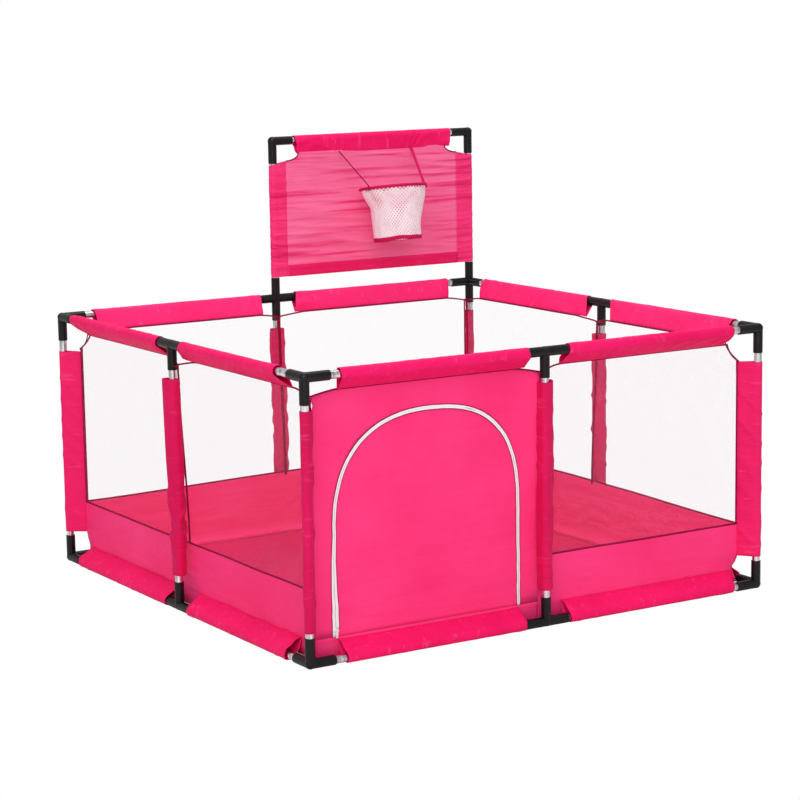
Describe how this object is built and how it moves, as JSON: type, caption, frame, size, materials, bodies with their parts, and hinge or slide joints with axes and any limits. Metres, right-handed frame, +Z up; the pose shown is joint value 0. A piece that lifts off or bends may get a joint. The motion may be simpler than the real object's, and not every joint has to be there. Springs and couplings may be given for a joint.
{
  "type": "playpen",
  "caption": "Square play yard: plugged tube frame inside moulded joints, sewn cloth and mesh cover with a floor, arched zip door, and a cloth backboard with a small hoop and net.",
  "frame": {"origin": "on the ground at the middle of the square", "axes": "+Z up, -Y towards the side with the door, +X to the right as seen from that side; the backboard stands on the +Y side's +X half"},
  "size_m": [1.2828, 1.2828, 1.0781],
  "materials": {
    "steel_tube": "bright zinc",
    "black_plastic": "satin moulded",
    "pink_cloth": "plain woven polyester with a slight sheen",
    "board_cloth": "thin plain woven polyester",
    "white_mesh": "fine knitted mesh",
    "pink_webbing": "folded and stitched webbing",
    "pink_binding": "bound edge tape",
    "zip_tape": "woven tape with a moulded coil",
    "zip_metal": "painted light grey"
  },
  "bodies": {
    "pen": {"post_front_left": "steel_tube", "post_front_middle": "steel_tube", "bottom_rail_front_left": "steel_tube", "bottom_rail_front_right": "steel_tube", "top_rail_front_left": "steel_tube", "top_rail_front_right": "steel_tube", "top_corner_front_left": "black_plastic", "top_tee_front": "black_plastic", "bottom_corner_front_left": "black_plastic", "bottom_tee_front": "black_plastic", "post_front_right": "steel_tube", "post_right_middle": "steel_tube", "bottom_rail_right_front": "steel_tube", "bottom_rail_right_back": "steel_tube", "top_rail_right_front": "steel_tube", "top_rail_right_back": "steel_tube", "top_corner_front_right": "black_plastic", "top_tee_right": "black_plastic", "bottom_corner_front_right": "black_plastic", "bottom_tee_right": "black_plastic", "post_back_right": "steel_tube", "post_back_middle": "steel_tube", "bottom_rail_back_right": "steel_tube", "bottom_rail_back_left": "steel_tube", "top_rail_back_right": "steel_tube", "top_rail_back_left": "steel_tube", "top_corner_back_right": "black_plastic", "top_tee_back": "black_plastic", "bottom_corner_back_right": "black_plastic", "bottom_tee_back": "black_plastic", "post_back_left": "steel_tube", "post_left_middle": "steel_tube", "bottom_rail_left_back": "steel_tube", "bottom_rail_left_front": "steel_tube", "top_rail_left_back": "steel_tube", "top_rail_left_front": "steel_tube", "top_corner_back_left": "black_plastic", "top_tee_left": "black_plastic", "bottom_corner_back_left": "black_plastic", "bottom_tee_left": "black_plastic", "cover_floor": "pink_cloth", "wall_front": "pink_cloth", "wall_right": "pink_cloth", "wall_back": "pink_cloth", "wall_left": "pink_cloth", "mesh_windows": "white_mesh", "zip_tape_fixed": "zip_tape"},
    "backboard": {"board_upright_left": "steel_tube", "board_elbow_left": "black_plastic", "board_upright_right": "steel_tube", "board_elbow_right": "black_plastic", "board_rail": "steel_tube", "board_cloth": "board_cloth", "hoop_straps": "pink_webbing"},
    "hoop": {"hoop_ring": "pink_binding", "hoop_net": "white_mesh"},
    "door": {"door_flap": "pink_cloth", "zip_tape_door": "zip_tape"},
    "slider": {"zip_slider": "zip_metal"},
    "pull": {"zip_pull": "zip_metal"}
  },
  "joints": [
    {"name": "door_swing", "type": "hinge", "parent": "pen", "child": "door", "pos_m": [-0.3, -0.5965, 0.051], "axis": [1, 0, 0], "range_deg": [-95, 95]},
    {"name": "zip_slide", "type": "slide", "parent": "pen", "child": "slider", "axis": [0, 0, 1], "range_m": [0, 0.225]},
    {"name": "pull_swing", "type": "hinge", "parent": "slider", "child": "pull", "pos_m": [-0.544, -0.6016, 0.066], "axis": [-1, 0, 0], "range_deg": [0, 170]},
    {"name": "board_lift", "type": "slide", "parent": "pen", "child": "backboard", "axis": [0, 0, 1], "range_m": [0, 0.07]},
    {"name": "hoop_tilt", "type": "hinge", "parent": "backboard", "child": "hoop", "pos_m": [0.31425, 0.6136, 0.919], "axis": [-1, 0, 0], "range_deg": [0, 80], "deforming": ["hoop_straps"]}
  ]
}
